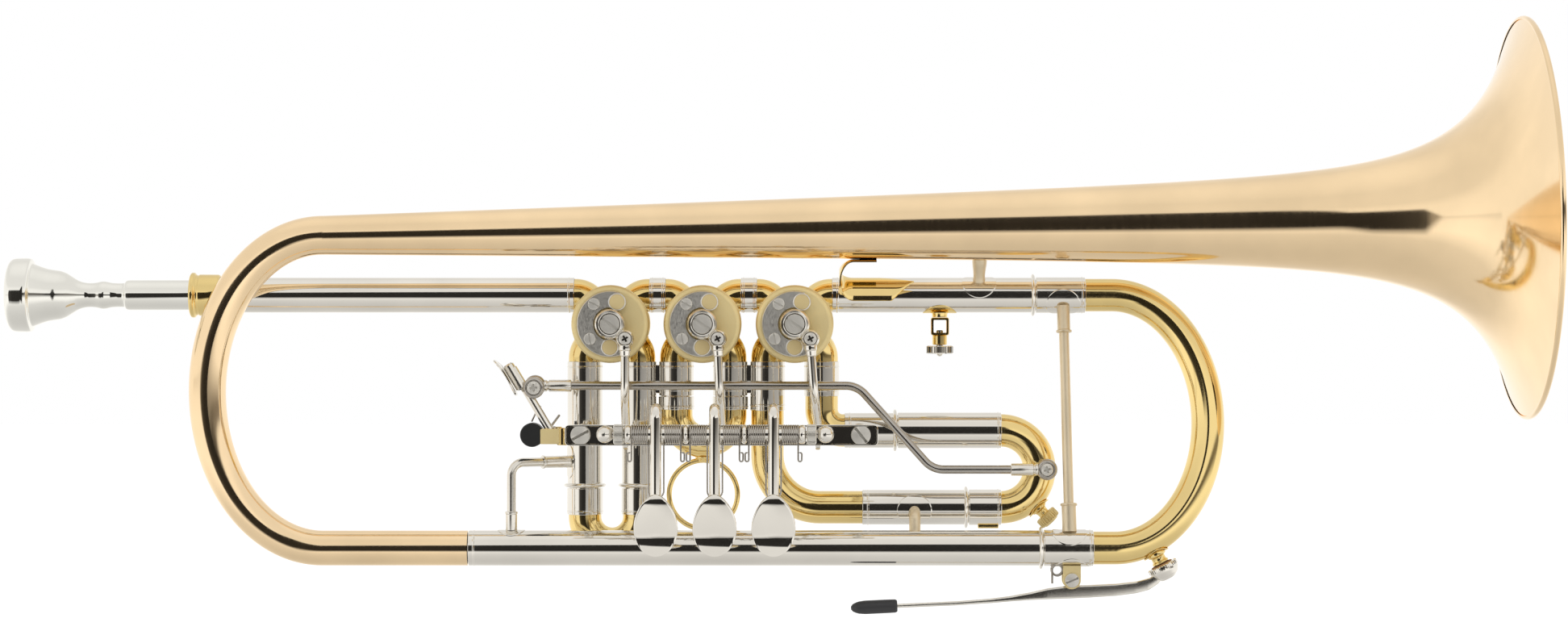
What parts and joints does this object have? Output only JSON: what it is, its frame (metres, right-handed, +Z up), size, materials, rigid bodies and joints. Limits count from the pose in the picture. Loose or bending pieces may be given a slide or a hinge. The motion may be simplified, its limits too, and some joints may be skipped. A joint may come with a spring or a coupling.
{
  "type": "rotary valve trumpet",
  "caption": "Rotary valve trumpet with flared bell, key levers with wound springs, pull slides, a third-slide trigger, a water key and a loose mouthpiece.",
  "frame": {"origin": "on the middle rotor's axis, in the plane of the valve ports, where the valve group is held", "axes": "+X along the instrument towards the bell, +Y away from the key levers, +Z up towards the bell stem"},
  "size_m": [0.5359, 0.1396, 0.2098],
  "materials": {
    "gold_brass": "polished and lacquered",
    "yellow_brass": "polished and lacquered",
    "matt_brass": "brushed and lacquered",
    "nickel_silver": "polished nickel silver",
    "steel": "bright steel",
    "silver_plate": "polished silver plate",
    "rubber": "moulded, matt"
  },
  "bodies": {
    "trumpet": {"bell": "gold_brass", "mouthpiece_receiver": "yellow_brass", "leadpipe": "nickel_silver", "valve_casing_1": "yellow_brass", "valve_casing_2": "yellow_brass", "valve_casing_3": "yellow_brass", "valve_front_cap_1": "matt_brass", "valve_front_cap_2": "matt_brass", "valve_front_cap_3": "matt_brass", "bumper_plate_1": "nickel_silver", "bumper_plate_2": "nickel_silver", "bumper_plate_3": "nickel_silver", "valve_back_cap_1": "matt_brass", "valve_back_cap_2": "matt_brass", "valve_back_cap_3": "matt_brass", "valve_ferrule_1_2": "nickel_silver", "valve_ferrule_2_3": "nickel_silver", "outlet_tube": "nickel_silver", "bell_tail_tube": "nickel_silver", "slide_sleeve_1_left": "nickel_silver", "slide_sleeves_1_2": "nickel_silver", "slide_sleeves_2_3": "nickel_silver", "slide_sleeve_3_right": "nickel_silver", "slide_3_upper_elbow": "yellow_brass", "slide_3_lower_elbow": "yellow_brass", "slide_3_upper_sleeve": "nickel_silver", "slide_3_lower_sleeve": "nickel_silver", "bell_brace": "nickel_silver", "corner_brace": "nickel_silver", "lyre_holder": "nickel_silver", "finger_hook": "yellow_brass", "key_rail": "nickel_silver", "key_axle": "steel", "trigger_bracket": "yellow_brass"},
    "mouthpiece": {"mouthpiece": "silver_plate"},
    "slide_1": {"slide_1_bow": "yellow_brass"},
    "slide_2": {"slide_2_bow": "yellow_brass"},
    "slide_3": {"slide_3_bow": "yellow_brass", "trigger_rod": "steel"},
    "tuning_slide": {"tuning_slide_bow": "yellow_brass", "tuning_slide_brace": "nickel_silver"},
    "water_key": {"water_key_lever": "nickel_silver", "water_key_tip": "rubber"},
    "trigger": {"trigger_lever": "nickel_silver"},
    "lyre_clamp": {"lyre_screw": "nickel_silver"},
    "rotor_1": {"rotor_1": "yellow_brass", "stop_arm_1": "nickel_silver"},
    "link_1": {"link_1": "nickel_silver"},
    "key_1": {"key_lever_1": "nickel_silver", "key_spring_1": "steel"},
    "rotor_2": {"rotor_2": "yellow_brass", "stop_arm_2": "nickel_silver"},
    "link_2": {"link_2": "nickel_silver"},
    "key_2": {"key_lever_2": "nickel_silver", "key_spring_2": "steel"},
    "rotor_3": {"rotor_3": "yellow_brass", "stop_arm_3": "nickel_silver"},
    "link_3": {"link_3": "nickel_silver"},
    "key_3": {"key_lever_3": "nickel_silver", "key_spring_3": "steel"}
  },
  "joints": [
    {"name": "mouthpiece_pull", "type": "slide", "parent": "trumpet", "child": "mouthpiece", "axis": [-1, 0, 0], "range_m": [0, 0.022]},
    {"name": "slide_1_pull", "type": "slide", "parent": "trumpet", "child": "slide_1", "axis": [0, 0, -1], "range_m": [0, 0.025]},
    {"name": "slide_2_pull", "type": "slide", "parent": "trumpet", "child": "slide_2", "axis": [0, 0, -1], "range_m": [0, 0.008]},
    {"name": "slide_3_push", "type": "slide", "parent": "trumpet", "child": "slide_3", "axis": [1, 0, 0], "range_m": [0, 0.01], "stiffness_N_per_m": 150, "springref_m": -0.012},
    {"name": "tuning_slide_pull", "type": "slide", "parent": "trumpet", "child": "tuning_slide", "axis": [1, 0, 0], "range_m": [0, 0.025]},
    {"name": "water_key_press", "type": "hinge", "parent": "tuning_slide", "child": "water_key", "pos_m": [0.1293, -0.014, -0.0896], "axis": [0, 1, 0], "range_deg": [0, 8], "stiffness_Nm_per_rad": 0.06, "springref_deg": -17.19},
    {"name": "trigger_press", "type": "hinge", "parent": "trumpet", "child": "trigger", "pos_m": [-0.0524, -0.0157, -0.0388], "axis": [0, 1, 0], "range_deg": [0, 33]},
    {"name": "lyre_screw_turn", "type": "hinge", "parent": "trumpet", "child": "lyre_clamp", "pos_m": [0.0837, 0, -0.009], "axis": [0, 0, 1], "continuous": true},
    {"name": "key_1_press", "type": "hinge", "parent": "trumpet", "child": "key_1", "pos_m": [-0.01544, -0.037, -0.03803], "axis": [1, 0, 0], "range_deg": [0, 26.8], "stiffness_Nm_per_rad": 0.08, "springref_deg": -22.92},
    {"name": "rotor_1_turn", "type": "hinge", "parent": "trumpet", "child": "rotor_1", "pos_m": [-0.0323, 0, 0], "axis": [0, -1, 0], "range_deg": [0, 90.01]},
    {"name": "link_1_swing", "type": "hinge", "parent": "rotor_1", "child": "link_1", "pos_m": [-0.0268, -0.0232, -0.0051], "axis": [0, -1, 0], "range_deg": [-90.01, 0]},
    {"name": "key_2_press", "type": "hinge", "parent": "trumpet", "child": "key_2", "pos_m": [0.00476, -0.037, -0.03803], "axis": [1, 0, 0], "range_deg": [0, 26.8], "stiffness_Nm_per_rad": 0.08, "springref_deg": -22.92},
    {"name": "rotor_2_turn", "type": "hinge", "parent": "trumpet", "child": "rotor_2", "pos_m": [0, 0, 0], "axis": [0, -1, 0], "range_deg": [0, 90.01]},
    {"name": "link_2_swing", "type": "hinge", "parent": "rotor_2", "child": "link_2", "pos_m": [0.0055, -0.0232, -0.0051], "axis": [0, -1, 0], "range_deg": [-90.01, 0]},
    {"name": "key_3_press", "type": "hinge", "parent": "trumpet", "child": "key_3", "pos_m": [0.02496, -0.037, -0.03803], "axis": [1, 0, 0], "range_deg": [0, 26.8], "stiffness_Nm_per_rad": 0.08, "springref_deg": -22.92},
    {"name": "rotor_3_turn", "type": "hinge", "parent": "trumpet", "child": "rotor_3", "pos_m": [0.0323, 0, 0], "axis": [0, -1, 0], "range_deg": [0, 90.01]},
    {"name": "link_3_swing", "type": "hinge", "parent": "rotor_3", "child": "link_3", "pos_m": [0.0378, -0.0232, -0.0051], "axis": [0, -1, 0], "range_deg": [-90.01, 0]}
  ],
  "couplings": [
    {"joint": "trigger_press", "follows": "slide_3_push", "rad_per_m": 57.2},
    {"joint": "rotor_1_turn", "follows": "key_1_press", "ratio": 3.358},
    {"joint": "link_1_swing", "follows": "key_1_press", "ratio": -3.358},
    {"joint": "rotor_2_turn", "follows": "key_2_press", "ratio": 3.358},
    {"joint": "link_2_swing", "follows": "key_2_press", "ratio": -3.358},
    {"joint": "rotor_3_turn", "follows": "key_3_press", "ratio": 3.358},
    {"joint": "link_3_swing", "follows": "key_3_press", "ratio": -3.358}
  ]
}
